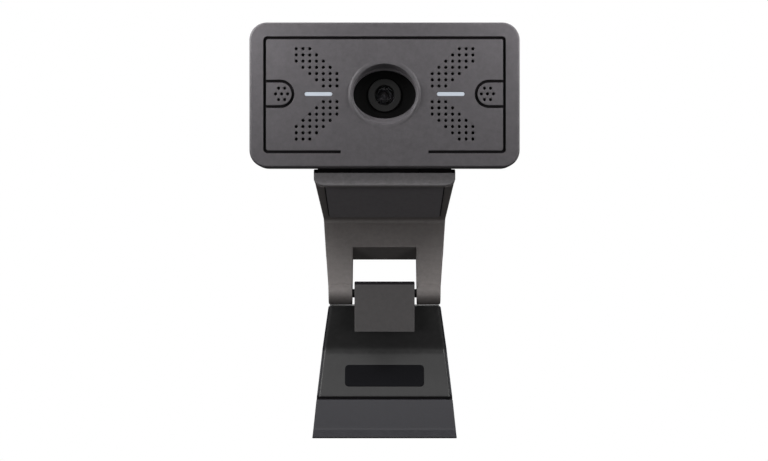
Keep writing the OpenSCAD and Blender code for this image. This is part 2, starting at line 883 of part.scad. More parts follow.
in_head() front_cover();
in_head() rear_cover();
in_head() lens_hood();
in_head() lens_barrel();
in_head() front_lens();
in_head() inner_lens();
in_head() lens_mount();
in_head() ir_filter();
in_head() image_sensor();
in_head() camera_board();
in_head() main_board();
in_head() image_processor();
in_head() shield_can();
in_head() board_connector();
in_head() usb_socket();
in_head() usb_contact_tongue();
in_head() side(-1) light_guide();  // left_light_guide
in_head() side(1) light_guide();  // right_light_guide
in_head() side(-1) led_board();  // left_led_board
in_head() side(1) led_board();  // right_led_board
in_head() side(-1) grille_cloth();  // left_grille_cloth
in_head() side(1) grille_cloth();  // right_grille_cloth
in_head() side(-1) speaker_gasket();  // left_speaker_gasket
in_head() side(1) speaker_gasket();  // right_speaker_gasket
in_head() side(-1) speaker_basket();  // left_speaker_basket
in_head() side(1) speaker_basket();  // right_speaker_basket
in_head() side(-1) speaker_cone();  // left_speaker_cone
in_head() side(1) speaker_cone();  // right_speaker_cone
in_head() side(-1) mic_boot();  // left_mic_boot
in_head() side(1) mic_boot();  // right_mic_boot
in_head() side(-1) microphone();  // left_microphone
in_head() side(1) microphone();  // right_microphone
in_head() cover_screws();
in_head() board_screws();
in_arm() arm_shell();
in_arm() arm_back_cover();
in_arm() arm_screws();
in_arm() rest_pad();
in_arm() tilt_pin();
in_arm() leg_pin();
in_leg() leg_shell();
in_leg() leg_front_cover();
in_leg() leg_pad();
in_leg() leg_screws();
in_leg() tripod_insert();
in_leg() friction_sleeve();
in_leg() hinge_washers();
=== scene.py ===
"""Conference webcam on a folding screen clip: the looks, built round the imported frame.

Lengths in this script are millimetres, turned to metres where a mesh is made. Each part of
the object has its own flat drawing plane: the head's is (x, z) seen from the front with depth
running back, and the clip's and leg's are (y, z) seen from the right with width running across.
"""

import json

import bpy
import bmesh
import numpy as np
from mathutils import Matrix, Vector
from mathutils.geometry import delaunay_2d_cdt


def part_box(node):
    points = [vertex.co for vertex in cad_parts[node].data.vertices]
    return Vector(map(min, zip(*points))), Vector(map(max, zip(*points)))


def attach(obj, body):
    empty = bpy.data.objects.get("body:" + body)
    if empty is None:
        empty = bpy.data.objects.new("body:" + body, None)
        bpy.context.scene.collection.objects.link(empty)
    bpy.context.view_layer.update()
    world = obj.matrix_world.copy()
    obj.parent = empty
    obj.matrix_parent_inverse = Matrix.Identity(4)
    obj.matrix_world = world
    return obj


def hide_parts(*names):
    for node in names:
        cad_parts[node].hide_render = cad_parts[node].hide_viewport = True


MM = 0.001
WELD = 2e-6      # metres: corners closer than this become one
BULGE = 0.002    # millimetres

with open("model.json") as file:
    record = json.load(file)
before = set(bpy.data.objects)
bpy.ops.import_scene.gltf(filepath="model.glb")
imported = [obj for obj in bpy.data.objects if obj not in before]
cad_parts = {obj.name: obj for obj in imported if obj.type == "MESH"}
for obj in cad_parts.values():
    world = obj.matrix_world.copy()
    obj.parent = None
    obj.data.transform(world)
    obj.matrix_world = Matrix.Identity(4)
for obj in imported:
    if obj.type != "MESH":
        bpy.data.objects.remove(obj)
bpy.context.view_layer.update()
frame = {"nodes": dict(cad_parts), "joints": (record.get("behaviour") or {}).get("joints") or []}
hinges = {j["name"]: np.array(j["pos_m"]) / MM for j in frame["joints"]}
TILT, FOLD = hinges["head_tilt"], hinges["leg_fold"]

# ---------- camera ----------

FOCUS_TO_WIDTH, SENSOR = 2.114, 36.0
camera = bpy.data.objects.new("camera", bpy.data.cameras.new("camera"))
camera.data.sensor_width = SENSOR
camera.data.lens = FOCUS_TO_WIDTH * SENSOR
camera.location = Vector((-0.0002, FOLD[1] * MM - 0.6, (FOLD[2] + 23.17) * MM))
camera.rotation_euler = (np.pi / 2, 0, 0)
bpy.context.scene.collection.objects.link(camera)
bpy.context.scene.camera = camera


# ---------- flat outlines ----------

def arc(cx, cz, r, start, end, n=8):
    """Points on a circle about (cx, cz) from angle start to end, in degrees, both ends kept."""
    a = np.radians(np.linspace(start, end, n + 1))
    return np.stack([cx + r * np.cos(a), cz + r * np.sin(a)], 1)


def disc(cx, cz, r, n=20):
    """A full circle, counterclockwise, its first point not repeated."""
    return arc(cx, cz, r, 0, 360, n)[:-1]


def round_rect(w, h, r, n=8, cx=0.0, cz=0.0):
    """A rectangle with quarter circles at its corners, counterclockwise from the lower right."""
    x, z = w / 2 - r, h / 2 - r
    corners = [(x, -z, -90), (x, z, 0), (-x, z, 90), (-x, -z, 180)]
    return np.concatenate([arc(cx + a, cz + b, r, s, s + 90, n) for a, b, s in corners])


def slot(cx, cz, length, height, n=8, upright=False):
    """A bar with half-round ends, lying along x, or along z when upright."""
    r, half = height / 2, (length - height) / 2
    loop = np.concatenate([arc(half, 0, r, -90, 90, n), arc(-half, 0, r, 90, 270, n)])
    if upright:
        loop = np.stack([-loop[:, 1], loop[:, 0]], 1)
    return loop + [cx, cz]


def inset(loop, d):
    """Moves a closed loop d to its left, each corner along its mitre: sides stay parallel."""
    ahead = np.roll(loop, -1, 0) - loop
    ahead /= np.linalg.norm(ahead, axis=1, keepdims=True) + 1e-12
    left = np.stack([-ahead[:, 1], ahead[:, 0]], 1)
    both = left + np.roll(left, 1, 0)
    scale = 2 / np.maximum((both ** 2).sum(1, keepdims=True), 0.6)
    return loop + d * both * scale


def rounded(corners, n=5):
    """A closed outline from (a, b, radius) corners, each an arc tangent to its two sides."""
    pts = np.array([c[:2] for c in corners], float)
    out = []
    for i, (a, b, r) in enumerate(corners):
        p, before, after = pts[i], pts[i - 1], pts[(i + 1) % len(pts)]
        if r <= 0:
            out.append(p[None])
            continue
        u, v = before - p, after - p
        lu, lv = np.linalg.norm(u), np.linalg.norm(v)
        u, v = u / lu, v / lv
        half = np.arccos(np.clip(u @ v, -1, 1)) / 2
        cut = min(r / np.tan(half), 0.49 * lu, 0.49 * lv)
        centre = p + (u + v) / np.linalg.norm(u + v) * cut / np.cos(half)
        t = np.linspace(0, 1, n + 1)[:, None]
        start, end = p + u * cut - centre, p + v * cut - centre
        blend = start * (1 - t) + end * t
        blend *= np.linalg.norm(start) / np.linalg.norm(blend, axis=1, keepdims=True)
        out.append(centre + blend)
    return np.concatenate(out)


def dense(loop, step):
    """Adds evenly spaced points so that no side of a closed loop is longer than step. Each side
    bulges by BULGE, as a parabola, so that no three of its points lie on one line."""
    ahead = np.roll(loop, -1, 0) - loop
    length = np.linalg.norm(ahead, axis=1, keepdims=True)
    out = np.stack([ahead[:, 1], -ahead[:, 0]], 1) / length * (4 * BULGE)
    counts = np.maximum(np.ceil(length[:, 0] / step).astype(int), 1)
    steps = [(np.arange(k) / k)[:, None] for k in counts]
    sides = zip(loop, ahead, out, steps)
    return np.concatenate([p + d * t + o * t * (1 - t) for p, d, o, t in sides])


# ---------- meshes ----------

class Shell:
    """Gathers surfaces as arrays of corners and faces, then welds them into one closed mesh."""

    def __init__(self):
        self.points, self.faces, self.count = [], [], 0

    def add(self, points, faces):
        self.points.append(points)
        self.faces.append(faces + self.count)
        self.count += len(points)

    def stack(self, rings):
        """Quads between neighbouring closed rings, given as an array of rings by points by 3.

        Material lies to the left of a ring's travel, and rings follow each other away from
        the viewer, so every quad faces out of the material.
        """
        rows, n = rings.shape[:2]
        i = np.arange(n)
        k = np.arange(rows - 1)[:, None] * n
        j = (i + 1) % n
        quads = np.stack([k + i, k + n + i, k + n + j, k + j], 2).reshape(-1, 4)
        self.add(rings.reshape(-1, 3), quads)

    def fill(self, loops, place, flip=False, extra=()):
        """Triangles over the area inside an odd number of loops, put in space by place."""
        flat = np.concatenate([*loops, np.reshape(extra, (-1, 2))])
        starts = np.cumsum([0] + [len(loop) for loop in loops])
        edges = [(s + i, s + (i + 1) % len(loop))
                 for s, loop in zip(starts, loops) for i in range(len(loop))]
        out = delaunay_2d_cdt([Vector(p) for p in flat], edges, [], 0, 1e-7, False)
        pts = np.array([tuple(p) for p in out[0]])
        tris = np.array([f for f in out[2] if len(f) == 3])
        mid = pts[tris].mean(1)
        a = np.concatenate(loops)
        b = np.concatenate([np.roll(loop, -1, 0) for loop in loops])
        rise = b[:, 1] - a[:, 1]
        spans = (a[:, 1] > mid[:, 1:2]) != (b[:, 1] > mid[:, 1:2])
        share = (mid[:, 1:2] - a[:, 1]) / np.where(rise == 0, 1, rise)
        cross = a[:, 0] + share * (b[:, 0] - a[:, 0])
        inside = (spans & (cross > mid[:, :1])).sum(1) % 2 == 1
        tris = tris[inside]
        p, q, r = pts[tris[:, 0]], pts[tris[:, 1]], pts[tris[:, 2]]
        turn = (q[:, 0] - p[:, 0]) * (r[:, 1] - p[:, 1]) - (q[:, 1] - p[:, 1]) * (r[:, 0] - p[:, 0])
        tris = np.where((turn < 0)[:, None], tris[:, ::-1], tris)
        self.add(place(pts), tris[:, ::-1] if flip else tris)

    def finish(self, name, body, material, node=(), place=None, sharp=40,
               weighted=True):
        """One object of all the surfaces, its corners welded and its faces turned outwards."""
        points = np.concatenate(self.points)
        if place is not None:
            points = place(points)
        mesh = bpy.data.meshes.new(name)
        mesh.from_pydata(points * MM, [], [f for faces in self.faces for f in faces.tolist()])
        work = bmesh.new()
        work.from_mesh(mesh)
        bmesh.ops.remove_doubles(work, verts=work.verts, dist=WELD)
        bmesh.ops.recalc_face_normals(work, faces=work.faces)
        work.to_mesh(mesh)
        work.free()
        return publish(mesh, name, body, material, node, sharp, weighted)


def publish(mesh, name, body, material, node=(), sharp=40, weighted=True):
    """Smooth shading with creases above an angle, the material and the body; the CAD node it stands
    for is hidden.
    """
    mesh.validate()
    mesh.shade_smooth()
    mesh.set_sharp_from_angle(angle=np.radians(sharp))
    for m in (material if isinstance(material, (list, tuple)) else [material]):
        mesh.materials.append(m)
    piece = bpy.data.objects.new(name, mesh)
    bpy.context.scene.collection.objects.link(piece)
    if weighted:
        even = piece.modifiers.new("even_shading", "WEIGHTED_NORMAL")
        even.keep_sharp = True
        even.weight = 100
    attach(piece, body)
    if node:
        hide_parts(*([node] if isinstance(node, str) else node))
    return piece


def centres(piece):
    """The middle of each face of a piece, in millimetres."""
    middle = np.empty(len(piece.data.polygons) * 3)
    piece.data.polygons.foreach_get("center", middle)
    return middle.reshape(-1, 3) / MM


def paint(piece, chosen):
    """Sets each face's material number: true or 1 is the piece's second material."""
    piece.data.polygons.foreach_set("material_index", chosen.astype(np.int32))


def quarter(r, n=3):
    """A quarter round edge as (inset, depth) pairs: from the flat face to the wall below it."""
    a = np.linspace(0, np.pi / 2, n + 1)
    return [(r * (1 - np.sin(t)), r * (1 - np.cos(t))) for t in a]


def at_depth(loop, y):
    """A front-view loop as 3-D points at depth y."""
    return np.stack([loop[:, 0], np.full(len(loop), float(y)), loop[:, 1]], 1)


def wall(shell, loop, front, back, r_front, r_back=0.0, n=3):
    """The wall of a plate along one loop, from the front face to the back one, edges rounded.
    Returns the flat loops that bound the two faces."""
    ends = [(d, front + t) for d, t in (quarter(r_front, n) if r_front else [(0, 0)])]
    ends += [(d, back - t) for d, t in (quarter(r_back, n)[::-1] if r_back else [(0, 0)])]
    rings = np.stack([at_depth(inset(loop, d), y) for d, y in ends])
    shell.stack(rings)
    return inset(loop, ends[0][0]), inset(loop, ends[-1][0])


def prism(shell, loop, low, high, r_low, r_high, n=4, extra=()):
    """A side profile carried across x between the surfaces low(y, z) and high(y, z).
    Each end is a flat cap joined to the sides by a quarter round."""
    def ring(d, x):
        flat = inset(loop, d)
        return np.stack([x, flat[:, 0], flat[:, 1]], 1)

    y, z = loop[:, 0], loop[:, 1]
    x0, x1 = low(y, z), high(y, z)
    tops = quarter(r_high, n) if r_high else [(0, 0)]
    feet = quarter(r_low, n)[::-1] if r_low else [(0, 0)]
    rings = [ring(d, x1 - t) for d, t in tops] + [ring(d, x0 + t) for d, t in feet]
    shell.stack(np.stack(rings))
    cap_high, cap_low = inset(loop, tops[0][0]), inset(loop, feet[-1][0])

    def lift(flat_loop, x):
        """Puts cap points at the x of the profile point they came from, or on the surface."""
        def place(pts):
            near = ((pts[:, None] - flat_loop[None]) ** 2).sum(2)
            k = near.argmin(1)
            own = near[np.arange(len(pts)), k] < 1e-6
            surface = high if x is x1 else low
            xs = np.where(own, x[k], surface(pts[:, 0], pts[:, 1]))
            return np.stack([xs, pts[:, 0], pts[:, 1]], 1)
        return place

    shell.fill([cap_high], lift(cap_high, x1), extra=extra)
    shell.fill([cap_low], lift(cap_low, x0), flip=True, extra=extra)


def revolve(shell, profile, n=64, cx=0.0, cz=0.0):
    """A profile of (radius, depth) points turned about an axis running back from (cx, cz)."""
    a = -np.linspace(0, 2 * np.pi, n, endpoint=False)
    r, y = np.array(profile, float).T
    ring = np.stack([
        cx + r[:, None] * np.cos(a), np.repeat(y[:, None], n, 1), cz + r[:, None] * np.sin(a)
    ], 2)
    shell.stack(ring)


# ---------- materials ----------

def shader(name, colour, roughness, **sockets):
    """A Principled material; keywords set its other inputs, _ standing for a space."""
    m = bpy.data.materials.new(name)
    m.use_nodes = True
    bsdf = m.node_tree.nodes["Principled BSDF"]
    bsdf.inputs["Base Color"].default_value = (*colour, 1)
    bsdf.inputs["Roughness"].default_value = roughness
    for key, value in sockets.items():
        bsdf.inputs[key.replace("_", " ")].default_value = value
    return m


def node_chain(m):
    """The parts of a material that a pattern joins: its tree, its shader, its coordinates."""
    tree = m.node_tree
    coords = tree.nodes.new("ShaderNodeTexCoord")
    return tree, tree.nodes["Principled BSDF"], coords.outputs["Object"]


def grain(m, size, height, mottle=0.0, rough=0.0):
    """Moulding grain: fine noise raises the surface, and slower noise shifts tone and gloss."""
    tree, bsdf, coords = node_chain(m)
    fine = tree.nodes.new("ShaderNodeTexNoise")
    fine.inputs["Scale"].default_value = 1 / (size * MM)
    fine.inputs["Detail"].default_value = 3
    tree.links.new(coords, fine.inputs["Vector"])
    bump = tree.nodes.new("ShaderNodeBump")
    bump.inputs["Strength"].default_value = 0.5
    bump.inputs["Distance"].default_value = height * MM
    tree.links.new(fine.outputs["Fac"], bump.inputs["Height"])
    tree.links.new(bump.outputs["Normal"], bsdf.inputs["Normal"])
    if mottle:
        slow = tree.nodes.new("ShaderNodeTexNoise")
        slow.inputs["Scale"].default_value = 620
        slow.inputs["Detail"].default_value = 5
        slow.inputs["Roughness"].default_value = 0.72
        tree.links.new(coords, slow.inputs["Vector"])
        base = np.array(bsdf.inputs["Base Color"].default_value[:3])
        tone = tree.nodes.new("ShaderNodeMapRange")
        tone.inputs["From Min"].default_value = 0.3
        tone.inputs["From Max"].default_value = 0.7
        tree.links.new(slow.outputs["Fac"], tone.inputs["Value"])
        mix = tree.nodes.new("ShaderNodeMix")
        mix.data_type = "RGBA"
        mix.inputs["A"].default_value = (*(base * (1 - mottle)), 1)
        mix.inputs["B"].default_value = (*(base * (1 + mottle)), 1)
        tree.links.new(tone.outputs["Result"], mix.inputs["Factor"])
        tree.links.new(mix.outputs["Result"], bsdf.inputs["Base Color"])
        if rough:
            gloss = tree.nodes.new("ShaderNodeMapRange")
            middle = bsdf.inputs["Roughness"].default_value
            gloss.inputs["From Min"].default_value = 0.3
            gloss.inputs["From Max"].default_value = 0.7
            gloss.inputs["To Min"].default_value = middle - rough
            gloss.inputs["To Max"].default_value = middle + rough
            tree.links.new(slow.outputs["Fac"], gloss.inputs["Value"])
            tree.links.new(gloss.outputs["Result"], bsdf.inputs["Roughness"])
    return m


def moulded(name, colour, roughness, relief, **sockets):
    """A shader with grain; relief holds the grain's size and height, then the shift of tone and
    of gloss."""
    return grain(shader(name, colour, roughness, **sockets), *relief)


head_plastic = moulded("head_plastic", (0.042, 0.0393, 0.0422), 0.44, (0.35, 0.012, 0.16, 0.05))
clip_plastic = moulded("clip_plastic", (0.096, 0.0875, 0.085), 0.46, (0.35, 0.012, 0.14, 0.05))
# painted light: a paler copy of clip_plastic for the lip's front, brighter than the same moulding
# elsewhere
lip_painted_light = moulded("lip_painted_light", (0.225, 0.215, 0.222), 0.46, (0.35, 0.012, 0.14, 0.05))
leg_plastic = moulded("leg_plastic", (0.0225, 0.0222, 0.0224), 0.36, (0.35, 0.008, 0.14, 0.05),
    Specular_IOR_Level=0.6)
toe_plastic = moulded("toe_plastic", (0.0185, 0.0180, 0.0215), 0.34, (0.35, 0.006, 0.12, 0.05),
    Specular_IOR_Level=0.6)
tongue_plastic = moulded("tongue_plastic", (0.042, 0.0393, 0.0395), 0.48, (0.35, 0.012, 0.12, 0.05))
# painted shade: a near-black put on grooves, holes, gaps and steps where shade falls
painted_shade_black = moulded("painted_shade_black", (0.007, 0.006, 0.007), 0.65, (0.3, 0.004, 0.15, 0.05),
    Specular_IOR_Level=0.15)
black_plastic = moulded("black_plastic", (0.006, 0.006, 0.006), 0.42, (0.3, 0.006))
lens_ring_black = moulded("lens_ring_black", (0.010, 0.010, 0.010), 0.5, (0.25, 0.003),
    Specular_IOR_Level=0.2)
pad_rubber = moulded("pad_rubber", (0.005, 0.005, 0.006), 0.7, (0.3, 0.01), Specular_IOR_Level=0.08)
rest_rubber = moulded("rest_rubber", (0.103, 0.097, 0.103), 0.66, (0.3, 0.01, 0.08))
pin_steel = moulded("pin_steel", (0.05, 0.05, 0.05), 0.35, (0.4, 0.003, 0.1, 0.05), Metallic=1.0)
screw_steel = moulded("screw_steel", (0.42, 0.42, 0.43), 0.32, (0.4, 0.004), Metallic=1.0)
socket_steel = moulded("socket_steel", (0.6, 0.6, 0.62), 0.25, (0.5, 0.003), Metallic=1.0)
insert_brass = moulded("insert_brass", (0.72, 0.5, 0.22), 0.28, (0.4, 0.004), Metallic=1.0)
board_green = moulded("board_green", (0.01, 0.09, 0.04), 0.35, (0.6, 0.01, 0.1))
chip_black = moulded("chip_black", (0.012, 0.012, 0.013), 0.45, (0.25, 0.003, 0.12, 0.05))
led_white = moulded("led_white", (0.8, 0.8, 0.78), 0.5, (0.3, 0.004, 0.05, 0.05))
cone_black = moulded("cone_black", (0.02, 0.02, 0.022), 0.7, (0.3, 0.01, 0.15, 0.05))
sensor_blue = moulded("sensor_blue", (0.02, 0.03, 0.06), 0.12, (0.4, 0.0, 0.1, 0.03),
    Coat_Weight=1.0)
hood_black = moulded("hood_black", (0.003, 0.003, 0.003), 0.8, (0.3, 0.006, 0.2, 0.05),
    Specular_IOR_Level=0.03)
retainer_black = moulded("retainer_black", (0.035, 0.035, 0.037), 0.7, (0.25, 0.003, 0.15, 0.05),
    Specular_IOR_Level=0.05)
cloth_black = moulded("cloth_black", (0.006, 0.006, 0.006), 0.9, (0.25, 0.03))
lit_white = moulded("lit_white", (0.10, 0.105, 0.115), 0.4, (0.5, 0.002, 0.06, 0.05),
    Emission_Color=(0.80, 0.89, 1.0, 1), Emission_Strength=0.42)
lens_glass = moulded("lens_glass", (0.62, 0.62, 0.64), 0.03, (0.5, 0.0, 0.03, 0.01),
    Transmission_Weight=1.0, IOR=1.2)
lens_dark = moulded("lens_dark", (0.1, 0.098, 0.102), 0.5, (0.4, 0.0, 0.08, 0.04),
    Specular_IOR_Level=0.2)
filter_glass = moulded("filter_glass", (0.5, 0.3, 0.4), 0.05, (0.5, 0.0, 0.04, 0.02),
    Transmission_Weight=0.6)


# ---------- head ----------

HEAD_W, HEAD_H, HEAD_R, FRONT_D = 96.0, 51.6, 6.2, 12.0
RIM, WALL, RAISE = 0.8, 2.0, 0.8
ROW = 0.35
PANEL_W, PANEL_H, GROOVE, GROOVE_D, GROOVE_END = 86.1, 41.5, 1.04, 1.1, 15.55
PAD_X, PAD_R = 37.0, 5.03
EDGE, HOLE_EDGE = 0.1, 0.05
HOLE_R, GRILLE_X, GRILLE_Z, HOLE_DX, HOLE_DZ = 0.57, 16.9, 2.78, 2.405, 2.207
MIC_HOLE_R, MIC_X, MIC_DX, MIC_DZ = 0.56, 36.5, 2.15, 2.02
LIGHT_X, LIGHT_SLOT, GUIDE = 23.5, (9.9, 1.44), (9.8, 1.34)
GUIDE_SET, GUIDE_EDGE, GUIDE_D = 0.12, 0.12, 3.2
low, high = (np.array(c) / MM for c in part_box("front_cover"))
HEAD = np.array([(low[0] + high[0]) / 2, low[1] + RAISE, (low[2] + high[2]) / 2])


def in_head(points):
    """From the middle of the head's front face to the shared frame."""
    return points + HEAD


def mirrored(loop):
    """The same loop on the other side, its direction of travel kept."""
    return (loop * [-1, 1])[::-1]


def grille():
    """Sound holes: seven rows of three to five, stepping sideways, in four mirrored groups."""
    row, col = (a.ravel() for a in np.mgrid[0:7, 0:7])
    keep = abs(col - row) <= 2
    x, z = GRILLE_X + col[keep] * HOLE_DX, GRILLE_Z + row[keep] * HOLE_DZ
    return [disc(sx * a, ROW + sz * b, HOLE_R, 16)
            for sx in (-1, 1) for sz in (-1, 1) for a, b in zip(x, z)]


def microphone_holes():
    """Seven holes in a hexagon over each microphone."""
    spots = [(i * MIC_DX, 0) for i in (-1, 0, 1)]
    spots += [(i * MIC_DX, j * MIC_DZ) for i in (-0.5, 0.5) for j in (-1, 1)]
    return [disc(s * (MIC_X + a), ROW + b, MIC_HOLE_R, 16) for s in (-1, 1) for a, b in spots]


def groove_outline():
    """The framing groove with the two pad grooves that branch from it, as one band's outline."""
    x, z, t, e = PANEL_W / 2, PANEL_H / 2, GROOVE, GROOVE_END
    up, down = ROW + PAD_R, ROW - PAD_R
    outer = np.concatenate([
        [(e, -z)], arc(x - 1.5, 1.5 - z, 1.5, -90, 0), arc(x - 1.5, z - 1.5, 1.5, 0, 90),
        arc(1.5 - x, z - 1.5, 1.5, 90, 180), arc(1.5 - x, 1.5 - z, 1.5, 180, 270), [(-e, -z)],
    ])
    r, xi, zi = 0.7, x - t, z - t
    half = np.concatenate([
        [(-e, -zi)], arc(r - xi, r - zi, r, 270, 180), [(-xi, down)],
        arc(-PAD_X, ROW, PAD_R, -90, 90, 20), [(-xi, up)], arc(r - xi, zi - r, r, 180, 90),
    ])
    return np.concatenate([outer, half, mirrored(half)])


def pad_island():
    """The microphone pad inside its groove: a half circle closed by the frame groove's edge."""
    r = PAD_R - GROOVE
    x = PANEL_W / 2 - GROOVE
    left = np.concatenate([[(-x, ROW - r)], arc(-PAD_X, ROW, r, -90, 90, 20), [(-x, ROW + r)]])
    return [left, mirrored(left)]


SURROUND_N = 96
SURROUND = (12.95, 12.5)
CREST_W, CREST_SIDE, CREST_TOP = 1.7, 0.78, 0.02
OVAL = (11.3, 8.7)
DISH_D, BOSS_END, BOSS_R = 2.6, 4.8, 14


def oval_rings(shapes):
    """Closed clockwise rings from (half width, half height, depth) rows, centred on the row."""
    a = -np.linspace(0, 2 * np.pi, SURROUND_N, endpoint=False)
    rx, rz, y = (np.array(c, float)[:, None] for c in zip(*shapes))
    return np.stack([rx * np.cos(a), y + 0 * a, ROW + rz * np.sin(a)], 2)


def surround_rings():
    """The lens surround: a low crest, higher at the sides, then a dish whose near-circle turns
    into the oval mouth. Crest height follows a half sine across its width, times the fourth
    power of the sideways share of the way round. The dish's depth eases in and out along the
    way to the mouth, as one less a power of what is left of the way."""
    s = np.linspace(0, 1, 9)[:, None]
    side = oval_rings([(1, 0, 0)])[0, :, 0] ** 4
    crest = oval_rings([(SURROUND[0] - CREST_W * t, SURROUND[1] - CREST_W * t, 0) for t in s[:, 0]])
    crest[:, :, 1] = -(CREST_TOP + (CREST_SIDE - CREST_TOP) * side) * np.sin(np.pi * s) ** 1.3
    t = np.linspace(0, 1, 12)[1:]
    start = (SURROUND[0] - CREST_W, SURROUND[1] - CREST_W)
    dish = [(start[0] + (OVAL[0] - start[0]) * k, start[1] + (OVAL[1] - start[1]) * k,
             DISH_D * (1 - (1 - k ** 1.35) ** 1.9)) for k in t]
    mouth = [(OVAL[0] - 0.1, OVAL[1] - 0.1, DISH_D + 0.1),
             (OVAL[0] - 0.12, OVAL[1] - 0.12, BOSS_END)]
    return np.concatenate([crest, oval_rings(dish + mouth)])


def front_cover():
    """A shell: front face with grooves, holes and surround, a rounded rim, side wall and inside.
    The walls and floors of the grooves and holes carry painted shade in near-black."""
    s = Shell()
    outline = dense(round_rect(HEAD_W, HEAD_H, HEAD_R, 14), 6)
    rim = [(d, y) for d, y in quarter(RIM, 7)]
    foot = [(0.0, FRONT_D - 0.3), (0.25, FRONT_D), (WALL, FRONT_D), (WALL, WALL)]
    s.stack(np.stack([at_depth(inset(outline, d), y) for d, y in rim + foot]))
    face, inside = [inset(outline, RIM)], [inset(outline, WALL)]
    groove = groove_outline()
    floor = [groove]
    top, _ = wall(s, groove[::-1], 0, GROOVE_D, EDGE)
    face.append(top)
    for island in pad_island():
        top, _ = wall(s, island, 0, GROOVE_D, EDGE)
        face.append(top)
        floor.append(island)
    holes = grille() + microphone_holes()
    for hole in holes:
        top, end = wall(s, hole[::-1], 0, WALL, HOLE_EDGE, n=2)
        face.append(top)
        inside.append(end)
    for sx in (-1, 1):
        top, end = wall(s, slot(sx * LIGHT_X, ROW, *LIGHT_SLOT)[::-1], 0, WALL, HOLE_EDGE, n=2)
        face.append(top)
        inside.append(end)
    rings = surround_rings()
    s.stack(rings)
    face.append(rings[0][:, [0, 2]])
    boss = oval_rings([(BOSS_R, BOSS_R, BOSS_END), (BOSS_R, BOSS_R, WALL)])
    s.stack(np.concatenate([rings[-1:], boss]))
    inside.append(boss[-1][:, [0, 2]])
    s.fill(face, lambda p: at_depth(p, 0))
    s.fill(floor, lambda p: at_depth(p, GROOVE_D))
    s.fill(inside, lambda p: at_depth(p, WALL), flip=True)
    cover = s.finish("front_cover_shell", "head", [head_plastic, painted_shade_black], "front_cover",
                     in_head, 42)
    x, y, z = (centres(cover) - HEAD).T
    # painted shade: the recessed faces of grooves and holes take the near-black second material
    sunk = (y > 0.08) & (y < WALL - 0.05) & (abs(x) < PANEL_W / 2 + 1) & (abs(z) < PANEL_H / 2 + 1)
    paint(cover, sunk & (x ** 2 + (z - ROW) ** 2 > (SURROUND[0] + 0.5) ** 2))


FLAT = 0.6    # degrees: facets closer to one plane than this are one face


def finished_copy(node, name, body, material, width=0.25, angle=30, sharp=34):
    """A copy of a CAD node, welded, its flat areas made whole and its edges rounded."""
    source = frame["nodes"][node].data
    pts = np.empty(len(source.vertices) * 3)
    source.vertices.foreach_get("co", pts)
    pts = np.round(pts.reshape(-1, 3), 7)
    key, index = np.unique(pts, axis=0, return_inverse=True)
    tris = np.empty(len(source.polygons) * 3, int)
    source.polygons.foreach_get("vertices", tris)
    tris = index.reshape(-1)[tris].reshape(-1, 3)
    tris = tris[(tris != np.roll(tris, -1, 1)).all(1)]
    mesh = bpy.data.meshes.new(name)
    mesh.from_pydata(key, [], tris.tolist())
    work = bmesh.new()
    work.from_mesh(mesh)
    bmesh.ops.remove_doubles(work, verts=work.verts, dist=WELD)
    bmesh.ops.dissolve_limit(work, angle_limit=np.radians(FLAT), verts=work.verts,
                             edges=work.edges)
    work.to_mesh(mesh)
    work.free()
    piece = publish(mesh, name, body, material, node, sharp, False)
    edge = piece.modifiers.new("rounded_edges", "BEVEL")
    edge.width = width * MM
    edge.segments = 2
    edge.limit_method = "ANGLE"
    edge.angle_limit = np.radians(angle)
    edge.harden_normals = True
    return piece


front_cover()
rear = finished_copy("rear_cover", "rear_cover_shell", "head", [head_plastic, painted_shade_black], 0.3)
x, y, z = centres(rear).T
# painted shadow: the tilt barrel under the head takes the near-black second material
barrel_painted_shadow = (np.hypot(y - TILT[1], z - TILT[2]) < 4.6) & (abs(x) < 12.6)
paint(rear, barrel_painted_shadow)


BARREL_Y, BARREL_R = 5.6, 5.95


def hood():
    """The black funnel behind the mouth: an oval that turns into the lens barrel's circle."""
    s = Shell()
    wide, tube, sleeve = (OVAL[0] + 0.3, OVAL[1] + 0.3), BARREL_R + 0.22, BARREL_R + 2.4
    flange, flange_back, sleeve_end = BOSS_END + 0.06, BOSS_END + 1.26, BOSS_END + 5.5
    mix = [(tube + (wide[0] - tube) * k, tube + (wide[1] - tube) * k,
            flange + 1.5 * (1 - k) ** 0.8) for k in np.linspace(1, 0, 9)]
    back = [(tube, tube, sleeve_end), (sleeve, sleeve, sleeve_end),
            (sleeve, sleeve, flange_back), (BOSS_R, BOSS_R, flange_back)]
    edge = [(BOSS_R, BOSS_R, flange_back), (BOSS_R, BOSS_R, flange)]
    s.stack(oval_rings([*edge, *mix, *back]))
    return s.finish("lens_hood_funnel", "head", hood_black, "lens_hood", in_head, 42)


def barrel():
    """The lens barrel: a flat dark ring stepping down to the glass, then a black tube behind."""
    s = Shell()
    y = BARREL_Y
    face = [(BARREL_R, y + 0.35), (5.9, y + 0.12), (5.7, y), (3.75, y), (3.6, y + 0.12)]
    profile = [(5.0, y + 10.4), (5.0, y + 4.6), (BARREL_R, y + 4.6), *face]
    profile += [(3.55, y + 0.5), (3.6, y + 0.55), (3.6, y + 2.6), (2.6, y + 2.6),
                (2.6, y + 10.4), (5.0, y + 10.4)]
    revolve(s, profile, 96, 0, ROW)
    return s.finish("lens_barrel_ring", "head", lens_ring_black, "lens_barrel", in_head, 30)


def lens(name, node, y, r, rise, thick, material):
    """A polished disc whose front is part of a ball: depth grows with the square of the radius."""
    s = Shell()
    t = np.linspace(0, 1, 14)
    front = [(r * a, y + rise * a * a) for a in t]
    profile = [(0, y + rise + thick), (r, y + rise + thick)] + front[::-1]
    revolve(s, profile, 64, 0, ROW)
    return s.finish(name, "head", material, node, in_head, 50)


